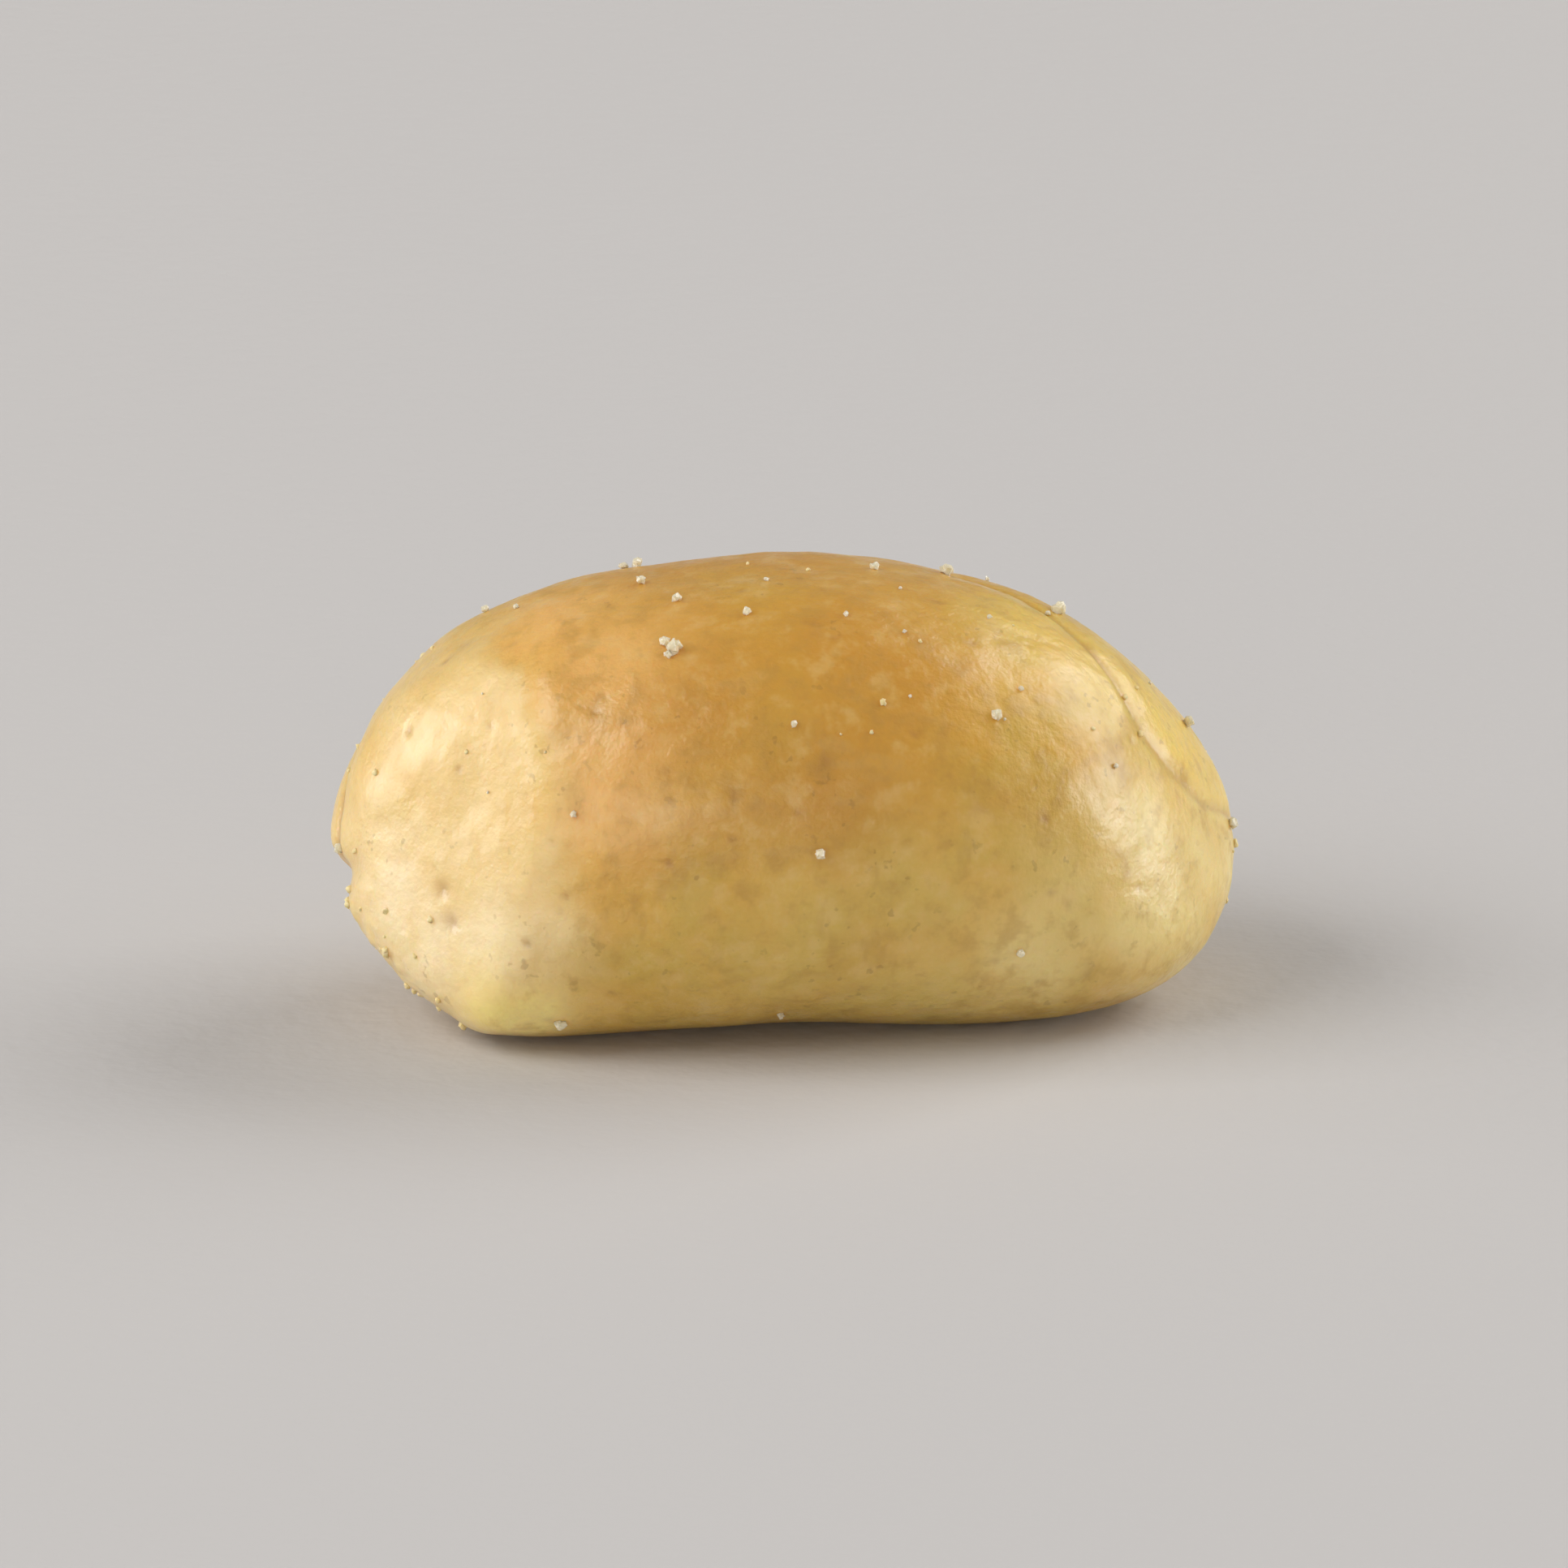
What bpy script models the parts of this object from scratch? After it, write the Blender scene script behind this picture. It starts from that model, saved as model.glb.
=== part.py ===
"""A whole peanut kernel, out of its shell and skin, lying on a small flat spot.

Metres, +Z up. The nut lies along X, and the origin is on the table, under the middle of the nut's box.
"""

import math

import bmesh
import bpy
from mathutils import Matrix, Vector

# Driving dimensions, in metres.
MM = 0.001
LENGTH = 16.1 * MM
WIDTH = 9.2 * MM
HEIGHT = 8.0 * MM
BELLY_TRIM = 0.08 * MM  # how much of the round belly the flat spot takes away
TIP_TRIM = 0.10 * MM  # how much each tip loses to its facet

# The nut's long axis sags towards both tips, like the spine of a kidney bean.
LEFT_SAG = 0.76 * MM
RIGHT_SAG = 1.36 * MM
SAG_POWER = 1.6  # 1 is a straight slope, more keeps the middle level

# Outlines of the body. A shoulder power says how far the full girth reaches towards a tip, and a nose
# power how blunt that tip is. 2 and 2 make a plain ellipse.
LEFT_SIDE_OUTLINE = (3.8, 1.42)  # seen from the front
RIGHT_SIDE_OUTLINE = (3.05, 1.73)
TOP_OUTLINE = (2.2, 2.0)  # seen from above
SECTION_POWER = 2.2  # the section is a little squarer than an ellipse

# Each end has a facet, pressed there by the next nut in the shell. It faces partly forwards (-Y).
LEFT_FACET_FACING = Vector((-0.75, -0.62, 0.20)).normalized()
LEFT_FACET_REACH = 5.9 * MM  # from the nut's middle to the facet's plane
RIGHT_FACET_FACING = Vector((0.80, -0.56, 0.20)).normalized()
RIGHT_FACET_REACH = 6.35 * MM
FACET_EDGE = 0.3 * MM  # softness of the rim round a facet
FACET_PRESS = 0.85  # 1 would be a true plane, less leaves it slightly crowned

# The left end swells low down in front, where the seed leaf turns under.
LOBE_CENTRE = Vector((-5.3 * MM, -2.5 * MM, 0.9 * MM))
LOBE_FACING = Vector((-0.40, -0.75, -0.45)).normalized()
LOBE_PUSH = 0.50 * MM
LOBE_RADIUS = 1.2 * MM

GRID_CUTS = 19  # cuts along each edge of the cube that the body starts from

NUT_COLOUR = (0.694, 0.451, 0.138, 1.0)  # pale golden tan, linear
NUT_ROUGHNESS = 0.45

HALF_LENGTH = LENGTH / 2 + TIP_TRIM
HALF_HEIGHT = (HEIGHT + BELLY_TRIM) / 2
AXIS_HEIGHT = HALF_HEIGHT - BELLY_TRIM
MIDDLE = Vector((0.0, 0.0, AXIS_HEIGHT))


def clear_scene():
    """Removes whatever the new file came with."""
    for thing in list(bpy.data.objects):
        bpy.data.objects.remove(thing, do_unlink=True)


def girth_at(along, outline):
    """Share of the full girth at a place on the axis, which runs from -1 (left tip) to 1 (right tip)."""
    shoulder, nose = outline
    return max(0.0, 1.0 - abs(along) ** shoulder) ** (1.0 / nose)


def sag_at(along):
    """How far the long axis has dropped at that place."""
    full_sag = LEFT_SAG if along < 0 else RIGHT_SAG
    return full_sag * abs(along) ** SAG_POWER


def body_point(direction):
    """Place on the plain bean shape for a direction from its middle."""
    along, across, upwards = direction
    ring = (abs(across) ** SECTION_POWER + abs(upwards) ** SECTION_POWER) ** (1.0 / SECTION_POWER)
    if ring > 0:
        across, upwards = across / ring, upwards / ring
    half_width = WIDTH / 2 * girth_at(along, TOP_OUTLINE)
    half_height = HALF_HEIGHT * girth_at(along, LEFT_SIDE_OUTLINE if along < 0 else RIGHT_SIDE_OUTLINE)
    return Vector((
        HALF_LENGTH * along,
        half_width * across,
        AXIS_HEIGHT - sag_at(along) + half_height * upwards,
    ))


def flattened(point, facing, reach):
    """Presses a point back towards a plane, with a soft rim and a slight crown."""
    proud = (point - MIDDLE).dot(facing) - reach
    pressed = FACET_EDGE * math.log1p(math.exp(proud / FACET_EDGE))
    return point - facing * pressed * FACET_PRESS


def swollen(point):
    """Pushes a point out where the lobe is."""
    distance = (point - LOBE_CENTRE).length
    return point + LOBE_FACING * LOBE_PUSH * math.exp(-0.5 * (distance / LOBE_RADIUS) ** 2)


def skin_point(direction):
    """Place on the nut's surface for a direction from its middle."""
    point = swollen(body_point(direction))
    point = flattened(point, LEFT_FACET_FACING, LEFT_FACET_REACH)
    return flattened(point, RIGHT_FACET_FACING, RIGHT_FACET_REACH)


def cut_flat_spot(bm):
    """Cuts the belly off at table height and closes the cut with one flat face."""
    geometry = bm.verts[:] + bm.edges[:] + bm.faces[:]
    cut = bmesh.ops.bisect_plane(
        bm, geom=geometry, dist=1e-7, plane_co=(0, 0, 0), plane_no=(0, 0, -1), clear_outer=True
    )
    rim = [item for item in cut["geom_cut"] if isinstance(item, bmesh.types.BMEdge)]
    bmesh.ops.edgeloop_fill(bm, edges=rim)


def fit_to_box(bm):
    """Stretches the body to the driving sizes, and centres it over the origin on the table."""
    corners = [[vert.co[axis] for vert in bm.verts] for axis in range(3)]
    low = Vector([min(values) for values in corners])
    high = Vector([max(values) for values in corners])
    size = high - low
    foot = Vector(((low.x + high.x) / 2, (low.y + high.y) / 2, low.z))
    stretch = Matrix.Diagonal((LENGTH / size.x, WIDTH / size.y, HEIGHT / size.z, 1.0))
    bmesh.ops.transform(bm, matrix=stretch @ Matrix.Translation(-foot), verts=bm.verts)


def kernel_material():
    """Roasted seed leaf: pale golden, with a slight shine of oil."""
    material = bpy.data.materials.new("roasted_kernel")
    material.use_nodes = True
    surface = material.node_tree.nodes["Principled BSDF"]
    surface.inputs["Base Color"].default_value = NUT_COLOUR
    surface.inputs["Roughness"].default_value = NUT_ROUGHNESS
    surface.inputs["Metallic"].default_value = 0.0
    return material


def make_kernel():
    """The nut: a cube's grid blown up to a ball, then shaped point by point."""
    bm = bmesh.new()
    bmesh.ops.create_cube(bm, size=2.0)
    bmesh.ops.subdivide_edges(bm, edges=bm.edges[:], cuts=GRID_CUTS, use_grid_fill=True)
    for vert in bm.verts:
        vert.co = skin_point(vert.co.normalized())
    cut_flat_spot(bm)
    fit_to_box(bm)
    bmesh.ops.recalc_face_normals(bm, faces=bm.faces[:])

    mesh = bpy.data.meshes.new("kernel")
    bm.to_mesh(mesh)
    bm.free()
    mesh.materials.append(kernel_material())
    mesh.shade_smooth()
    kernel = bpy.data.objects.new("kernel", mesh)
    bpy.context.scene.collection.objects.link(kernel)
    return kernel


clear_scene()
make_kernel()
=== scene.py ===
# %% [markdown]
# One roasted peanut kernel
#
# This lesson dresses a plain solid of a nut so that it looks roasted, oily and salted. The solid comes in
# as a fixed frame and says how big the nut is and where it lies. Everything after that is about the
# surface: a finer skin, the small marks that growth, the roaster and the salt leave on it, and the light
# that shows them.

# %% Load the frame
import bisect
import math
import random

import bmesh
import bpy
import numpy
from mathutils import Euler, Matrix, Vector, noise
from mathutils.bvhtree import BVHTree
from mathutils.geometry import intersect_point_line


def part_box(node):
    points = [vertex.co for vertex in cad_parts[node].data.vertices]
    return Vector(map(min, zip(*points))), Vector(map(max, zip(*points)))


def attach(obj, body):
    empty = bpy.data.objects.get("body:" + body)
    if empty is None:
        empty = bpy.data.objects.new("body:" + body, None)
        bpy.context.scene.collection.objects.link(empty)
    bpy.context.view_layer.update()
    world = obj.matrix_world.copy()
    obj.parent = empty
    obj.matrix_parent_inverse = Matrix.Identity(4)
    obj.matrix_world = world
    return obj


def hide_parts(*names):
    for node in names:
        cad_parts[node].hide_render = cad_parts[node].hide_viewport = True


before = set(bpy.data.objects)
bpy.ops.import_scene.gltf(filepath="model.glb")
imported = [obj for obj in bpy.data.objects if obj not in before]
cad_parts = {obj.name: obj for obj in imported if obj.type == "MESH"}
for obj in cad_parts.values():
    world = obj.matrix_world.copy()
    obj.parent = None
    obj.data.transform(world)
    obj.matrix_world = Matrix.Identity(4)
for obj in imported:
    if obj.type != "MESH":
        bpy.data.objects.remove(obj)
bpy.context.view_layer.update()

MM = 0.001  # the scene is in metres, and this nut is only 16 mm long
low_corner, high_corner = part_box("kernel")
nut_size = high_corner - low_corner
nut_middle = (low_corner + high_corner) / 2
print("nut, mm:", [round(side / MM, 2) for side in nut_size])

# %% [markdown]
# The camera
#
# It comes first, because some marks are placed where the photograph shows them. The nut was seen from a
# little above, with its left end slightly nearer, through a long lens. The picture is framed closely round
# the nut, which in the photograph fills only a ninth of the width. A mark's pixel becomes a point on the
# nut by sending a ray from the camera through that pixel.

# %% Camera
CAMERA_ELEVATION = math.radians(18)
CAMERA_AZIMUTH = math.radians(-5.5)  # 0 looks along +Y, and less than 0 stands further left
CAMERA_DISTANCE = 450 * MM
PICTURE_WIDTH = 27.7 * MM  # how much shows across the picture, at the nut
SENSOR_WIDTH = 36.0  # Blender gives sensors and lenses in millimetres
CLIP_START, CLIP_END = 10 * MM, 10000 * MM
PHOTO_PIXELS_PER_MM = 13.0
PHOTO_PIXEL_OF_MIDDLE = Vector((943.8, 1009.8))  # where the photograph shows the middle of the nut

view_forward = Vector((
    -math.sin(CAMERA_AZIMUTH) * math.cos(CAMERA_ELEVATION),
    math.cos(CAMERA_AZIMUTH) * math.cos(CAMERA_ELEVATION),
    -math.sin(CAMERA_ELEVATION),
))
view_right = Vector((math.cos(CAMERA_AZIMUTH), math.sin(CAMERA_AZIMUTH), 0.0))
view_up = view_right.cross(view_forward)
camera_place = nut_middle - view_forward * CAMERA_DISTANCE

camera_data = bpy.data.cameras.new("camera")
camera_data.sensor_width = SENSOR_WIDTH
camera_data.lens = SENSOR_WIDTH * CAMERA_DISTANCE / PICTURE_WIDTH
camera_data.clip_start = CLIP_START
camera_data.clip_end = CLIP_END
camera = bpy.data.objects.new("camera", camera_data)
camera.location = camera_place
camera.rotation_euler = view_forward.to_track_quat("-Z", "Y").to_euler()
bpy.context.scene.collection.objects.link(camera)
bpy.context.scene.camera = camera
print("lens, mm:", round(camera_data.lens, 1))

# %% [markdown]
# A fine, even skin
#
# The solid is made of facets about half a millimetre wide, too coarse for close looks. Subdividing them
# would keep their pattern, and a voxel remesh leaves small steps. So a fresh grid is thrown onto the solid:
# a cube cut into many squares, each of whose points moves along a ray from the nut's middle until it meets
# the solid. The squares come out nearly equal, and a little smoothing takes the last facets away.

# %% Cast the skin onto the solid
SKIN_CUTS = 122
SKIN_SMOOTHINGS = 6
MERGE_DISTANCE = 0.0001 * MM


def tree_of(mesh):
    """A search tree over a merged copy of a mesh, for rays and nearest points."""
    copy = bmesh.new()
    copy.from_mesh(mesh)
    bmesh.ops.remove_doubles(copy, verts=copy.verts, dist=MERGE_DISTANCE)
    tree = BVHTree.FromBMesh(copy)
    copy.free()
    return tree


def point_towards(tree, ball):
    """Where a ray from the nut's middle meets a tree. The ray leans as the nut's box does."""
    ray = Vector((ball.x * nut_size.x, ball.y * nut_size.y, ball.z * nut_size.z)).normalized()
    return tree.ray_cast(nut_middle, ray)[0]


def cast_skin(tree):
    """An even grid of squares that lies on the solid."""
    grid = bmesh.new()
    bmesh.ops.create_cube(grid, size=2.0)
    bmesh.ops.subdivide_edges(grid, edges=grid.edges[:], cuts=SKIN_CUTS, use_grid_fill=True)
    for vert in grid.verts:
        vert.co = point_towards(tree, vert.co.normalized())
    for _ in range(SKIN_SMOOTHINGS):
        bmesh.ops.smooth_vert(
            grid, verts=grid.verts, factor=0.5, use_axis_x=True, use_axis_y=True, use_axis_z=True
        )
    bmesh.ops.recalc_face_normals(grid, faces=grid.faces)
    grid.normal_update()
    return grid


solid_tree = tree_of(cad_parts["kernel"].data)
skin = cast_skin(solid_tree)
print("skin:", len(skin.verts), "points,", len(skin.faces), "squares")

# %% Find the nut's point under a pixel of the photograph


def nut_point(pixel):
    """The point on the solid that the photograph shows at a pixel, or the nearest one to its ray."""
    offset = (Vector(pixel) - PHOTO_PIXEL_OF_MIDDLE) / PHOTO_PIXELS_PER_MM * MM
    aim = nut_middle + view_right * offset.x - view_up * offset.y
    hit = solid_tree.ray_cast(camera_place, (aim - camera_place).normalized())[0]
    return hit if hit else solid_tree.find_nearest(aim)[0]


def nut_points(pixels):
    return [nut_point(pixel) for pixel in pixels]


front_middle = nut_point(PHOTO_PIXEL_OF_MIDDLE)
print("in the middle of the photographed front, mm:", [round(side / MM, 2) for side in front_middle])

# %% [markdown]
# Masks and bumps
#
# Every mark is made of the same few shapes: a soft round spot, a soft line, a soft step, and noise of a
# given grain size. Each one gives a number for a point of the skin, which either moves the point in or out,
# or is kept on the mesh for the material to read as colour. Lines that wander over the nut are given by a
# few stations, and a smooth curve is read between them. Borders are made uneven by moving the point about
# with noise before it is looked up.

# %% Shapes of marks


def soft_spot(point, centre, radius):
    """1 at the centre, falling smoothly to nearly 0 at twice the radius."""
    return math.exp(-((point - centre).length_squared) / (radius * radius))


def soft_line(distance, width):
    """1 on a line, falling smoothly to nearly 0 at twice the width."""
    return math.exp(-((distance / width) ** 2))


def soft_step(value, start, end):
    """0 before start, 1 after end, smooth between. It falls instead where end is less than start."""
    share = min(1.0, max(0.0, (value - start) / (end - start)))
    return share * share * (3 - 2 * share)


def grain_noise(point, grain, shift=0.0):
    """Smooth noise from about -1 to 1, with blobs one grain apart. Each shift gives another noise."""
    return noise.noise(point / grain + Vector((shift, -shift, 2 * shift)))


def ragged(point, grain, reach, shift):
    """A point moved about by noise, which makes the border of a mark uneven."""
    return point + reach * Vector([grain_noise(point, grain, shift + axis) for axis in range(3)])


def nearest_spot(point, centres, radius):
    """The strongest of several soft spots."""
    return max(soft_spot(point, centre, radius) for centre in centres)


def limited(share):
    return min(1.0, max(0.0, share))


def smooth_route(stations):
    """A function that reads a smooth curve through a few (position, reading) stations."""
    places, readings = zip(*stations)
    slopes = [float(slope) for slope in numpy.gradient(readings, places)]

    def read(value):
        value = min(max(value, places[0]), places[-1])
        start = min(bisect.bisect_right(places, value) - 1, len(places) - 2)
        width = places[start + 1] - places[start]
        share = (value - places[start]) / width
        blend = share * share * (3 - 2 * share)
        bulge_from_start = slopes[start] * width * share * (1 - share) ** 2
        bulge_from_end = slopes[start + 1] * width * share * share * (1 - share)
        level = readings[start] + (readings[start + 1] - readings[start]) * blend
        return level + bulge_from_start - bulge_from_end

    return read


print("a soft line at half, one and two widths:", [round(soft_line(away, 1.0), 2) for away in (0.5, 1, 2)])

# %% [markdown]
# The seam and the germ
#
# The kernel is two seed leaves lying face to face. Their seam runs once round the nut. In the photograph it
# shows as a faint crease at the right tip and as a notch in the outline at the left tip, and it stays
# behind the crown between them. The germ lies between the leaves at the right end. Its tip shows as a low
# narrow swelling, with the seam parting round it, so two routes are drawn there and the germ is what lies
# between them. On the crown and the back the leaves round off towards the seam, which leaves a shallow
# valley.

# %% Routes of the seam
# Place round the nut in degrees, seen from the front: 0 under the belly, 90 at the right tip, 180 on the
# crown and 270 at the left tip. With each, how far the line lies behind (+) or in front of (-) the middle,
# in mm.
SEAM_ROUTE = (
    (0, 0.2), (40, 0.25), (66, 0.3), (79, -0.1), (84, -0.8), (93, -1.25), (105, -1.6), (122, -1.5),
    (136, -0.5), (150, 1.0), (170, 1.9), (200, 2.1), (235, 2.0), (250, 1.6), (259, 1.1), (267, 0.7),
    (276, 0.35), (283, 0.2), (289, 0.35), (300, 0.5), (330, 0.35), (360, 0.2),
)
GERM_BACK_ROUTE = ((60, 0.3), (76, 0.45), (90, 0.75), (110, 0.95), (130, 0.95), (150, 0.75))

seam_at = smooth_route(SEAM_ROUTE)
germ_back_at = smooth_route(GERM_BACK_ROUTE)


def place_round(point):
    """Where a point lies round the nut, in the degrees of the routes."""
    offset = point - nut_middle
    return (math.degrees(math.atan2(offset.z / nut_size.z, offset.x / nut_size.x)) + 90) % 360


print("seam on the crown, mm behind the middle:", round(seam_at(180), 2))

# %% Seam lines
SEAM_WIDTH = 0.12 * MM
SEAM_DEPTH = 0.06 * MM
SEAM_WANDER = 0.12 * MM
SEAM_WANDER_GRAIN = 1.1 * MM
RIGHT_TIP_START = (60, 78)  # in these degrees the right tip begins
RIGHT_TIP_END = (152, 126)  # and here it ends
RIGHT_TIP_CLOSED = 0.4  # how much less of the seam shows there
VALLEY_WIDTH = 0.55 * MM
VALLEY_DEPTH = 0.07 * MM


def right_tip_share(around):
    """1 at the right tip, where the leaves are parted by the germ, 0 elsewhere."""
    return soft_step(around, *RIGHT_TIP_START) * soft_step(around, *RIGHT_TIP_END)


def line_distance(point, behind, shift):
    """How far a point lies behind a line that wanders a little. Behind is the line's place, in mm."""
    return point.y - behind * MM + SEAM_WANDER * grain_noise(point, SEAM_WANDER_GRAIN, shift)


def seam_distance(point):
    """How far a point lies behind the seam."""
    return line_distance(point, seam_at(place_round(point)), 5.0)


def seam_mark(point):
    """How strongly the seam shows, from 0 to 1. It is open on the crown and half closed at the right tip."""
    shown = 1.0 - RIGHT_TIP_CLOSED * right_tip_share(place_round(point))
    return shown * soft_line(seam_distance(point), SEAM_WIDTH)


# %% Germ
GERM_START, GERM_END = 68, 146  # degrees of the routes
GERM_RISE, GERM_FALL = 16, 30  # degrees over which its height comes and goes
GERM_LINE_FADE = 12  # degrees over which the line behind it comes and goes
GERM_LINE = 0.55  # how strongly that line shows
GERM_EDGE = 0.5 * MM
GERM_SWELL = 0.045 * MM


def germ_share(point):
    """1 on the tip of the germ, 0 elsewhere."""
    around = place_round(point)
    if not GERM_START < around < GERM_END:
        return 0.0
    front, back = seam_at(around) * MM, germ_back_at(around) * MM
    across = soft_step(point.y, front, front + GERM_EDGE) * soft_step(point.y, back, back - GERM_EDGE)
    rise = soft_step(around, GERM_START, GERM_START + GERM_RISE)
    return across * rise * soft_step(around, GERM_END, GERM_END - GERM_FALL)


def germ_back_mark(point):
    """The line on the far side of the germ, from 0 to 1."""
    around = place_round(point)
    if not GERM_START < around < GERM_END:
        return 0.0
    distance = line_distance(point, germ_back_at(around), 6.0)
    start = soft_step(around, GERM_START, GERM_START + GERM_LINE_FADE)
    end = soft_step(around, GERM_END, GERM_END - GERM_LINE_FADE)
    return GERM_LINE * soft_line(distance, SEAM_WIDTH) * start * end


# %% Notch
NOTCH_PIXEL = (849.0, 1027.5)  # where the notch runs out on the front
NOTCH_DEEPEST = Vector((-7.88, 0.33, 2.44)) * MM  # on the outline
NOTCH_END = Vector((-7.55, 1.60, 1.90)) * MM  # behind the tip
NOTCH_FADE = (1.1, 0.1)  # shares of the way to an end between which the crease grows to its full depth
NOTCH_OVERLAP = -0.2  # how far each half reaches back past the deepest place
NOTCH_WIDTH = 0.32 * MM
NOTCH_DEPTH = 0.30 * MM

notch_start = nut_point(NOTCH_PIXEL)


def crease_mark(point, deepest, end):
    """One half of a crease, 1 where it is deepest and 0 beyond its end."""
    nearest, share = intersect_point_line(point, deepest, end)
    if share <= NOTCH_OVERLAP:
        return 0.0
    return soft_step(share, *NOTCH_FADE) * soft_line((point - nearest).length, NOTCH_WIDTH)


def notch_mark(point):
    """The notch, a short crease across the left tip, from 0 to 1."""
    return max(crease_mark(point, NOTCH_DEEPEST, end) for end in (notch_start, NOTCH_END))


def seam_relief(point):
    """The grooves, the shallow valley between the leaves, the notch and the swell of the germ."""
    groove = SEAM_DEPTH * (seam_mark(point) + germ_back_mark(point))
    valley = VALLEY_DEPTH * soft_line(seam_distance(point), VALLEY_WIDTH)
    valley *= 1 - right_tip_share(place_round(point))
    return GERM_SWELL * germ_share(point) - groove - valley - NOTCH_DEPTH * notch_mark(point)


print("notch from the front, mm:", [round(side / MM, 2) for side in notch_start])

# %% [markdown]
# The pressed ends
#
# The next nut in the shell pressed the left end flat, and a soft ridge bounds the pressed face. The face is
# scuffed: its lower edge is crumbly, it has two small brown dents, and a shallow hollow runs beside the
# ridge, which is why the gloss there breaks into a few separate patches. The right end was pressed less and
# swells low down, which turns the surface above the swell up towards the light.

# %% Ridge, hollow, dents and crumbly edge
# Height over the table and place along the nut of the ridge, in mm.
RIDGE_ROUTE = ((0.5, -5.6), (2.1, -5.25), (4.9, -4.55), (6.9, -4.4), (8.0, -4.3))
RIDGE_HEIGHT = 0.07 * MM
RIDGE_WIDTH = 0.42 * MM
FRONT_START, FRONT_FULL = 0.4 * MM, -2.0 * MM  # where the front begins, and where it counts in full
HOLLOW_PIXEL = (871.0, 1014.0)
HOLLOW_RADIUS = 0.8 * MM
HOLLOW_DEPTH = 0.06 * MM
DENT_PIXELS = ((867.5, 1041.5), (865.5, 1034.0))
DENT_RADIUS = 0.18 * MM
DENT_DEPTH = 0.06 * MM
CRUMB_PIXELS = ((856.0, 1052.0), (866.0, 1062.0), (847.0, 1040.0))
CRUMB_RADIUS = 0.9 * MM
CRUMB_GRAIN = 0.30 * MM
CRUMB_HEIGHT = 0.07 * MM
FINE_CRUMB_HEIGHT = 0.6  # share of that height that grains of half the size reach

ridge_at = smooth_route(RIDGE_ROUTE)
hollow = nut_point(HOLLOW_PIXEL)
dents = nut_points(DENT_PIXELS)
crumb_places = nut_points(CRUMB_PIXELS)


def ridge_distance(point):
    """How far a point lies to the right of the ridge line."""
    return point.x - ridge_at(point.z / MM) * MM


def front_share(point):
    """1 on the front of the nut, 0 on its back."""
    return soft_step(point.y, FRONT_START, FRONT_FULL)


def dent_mark(point):
    return nearest_spot(point, dents, DENT_RADIUS)


def left_end_relief(point):
    """The ridge, the hollow and dents beside it, and the crumbly edge."""
    ridge = RIDGE_HEIGHT * soft_line(ridge_distance(point), RIDGE_WIDTH) * front_share(point)
    pressed = HOLLOW_DEPTH * soft_spot(point, hollow, HOLLOW_RADIUS) + DENT_DEPTH * dent_mark(point)
    coarse = max(0.0, grain_noise(point, CRUMB_GRAIN))
    fine = max(0.0, grain_noise(point, CRUMB_GRAIN / 2, 7.0))
    crumbly = nearest_spot(point, crumb_places, CRUMB_RADIUS)
    return ridge - pressed + CRUMB_HEIGHT * (coarse + FINE_CRUMB_HEIGHT * fine) * crumbly


print("pressed left end:", len(dents), "dents,", len(crumb_places), "crumbly places")

# %% Swell of the right end
RIGHT_SWELL_PIXEL = (1031.0, 1046.0)
RIGHT_SWELL_RADIUS = 1.7 * MM
RIGHT_SWELL_HEIGHT = 0.20 * MM

right_swell = nut_point(RIGHT_SWELL_PIXEL)


def right_end_relief(point):
    return RIGHT_SWELL_HEIGHT * soft_spot(point, right_swell, RIGHT_SWELL_RADIUS)


print("right swell, mm:", [round(side / MM, 2) for side in right_swell])

# %% [markdown]
# Undulation, flecks and pinholes
#
# Over the whole nut the surface wanders a little, as it does on anything that grew: broad swells, smaller
# lumps and a fine grain. Steam leaving the hot leaf has left sparse pinholes. A Voronoi pattern gives them,
# because each of its cells has one centre, and only the centres that happen to lie at the surface make a
# hole.

# %% Flecks and pinholes
FLECK_PIXELS = (
    (899.5, 991.4), (950.0, 974.2), (953.2, 1004.0), (988.2, 1014.6), (932.8, 1013.0), (880.5, 978.0),
    (1014.0, 1052.0),
)
FLECK_RADIUS = 0.17 * MM
FLECK_DEPTH = 0.02 * MM
FLECK_BEND_GRAIN, FLECK_BEND = 0.32 * MM, 0.3 * MM
PIT_SPACING = 0.62 * MM
PIT_RADIUS = 0.075 * MM
PIT_DEPTH = 0.035 * MM
PIT_CHOICE_GRAIN = 0.7 * MM
PIT_CHOICE = (-0.25, 0.3)  # noise values between which a cell goes from no pinhole to a full one

flecks = nut_points(FLECK_PIXELS)


def fleck_mark(point):
    """Small darker spots. Noise bends them, so that none is a round dot."""
    return nearest_spot(ragged(point, FLECK_BEND_GRAIN, FLECK_BEND, 3.0), flecks, FLECK_RADIUS)


def pit_mark(point):
    """Pinholes, from 0 to 1. About half of the cells have a faint one."""
    distances, centres = noise.voronoi(point / PIT_SPACING)
    choice = grain_noise(centres[0] * PIT_SPACING, PIT_CHOICE_GRAIN, 21.0)
    return soft_step(choice, *PIT_CHOICE) * soft_line(distances[0] * PIT_SPACING, PIT_RADIUS)


print("flecks:", len(flecks))

# %% Put the relief into the skin
SWELLS = (  # grain, height, shift of the noise
    (3.6 * MM, 0.080 * MM, 1.0),
    (1.25 * MM, 0.038 * MM, 2.0),
    (0.5 * MM, 0.014 * MM, 4.0),
    (0.24 * MM, 0.006 * MM, 8.0),
)
FOOT_FADE = 0.4 * MM  # height over the table at which the relief is whole


def undulation(point):
    return sum(height * grain_noise(point, grain, shift) for grain, height, shift in SWELLS)


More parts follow.
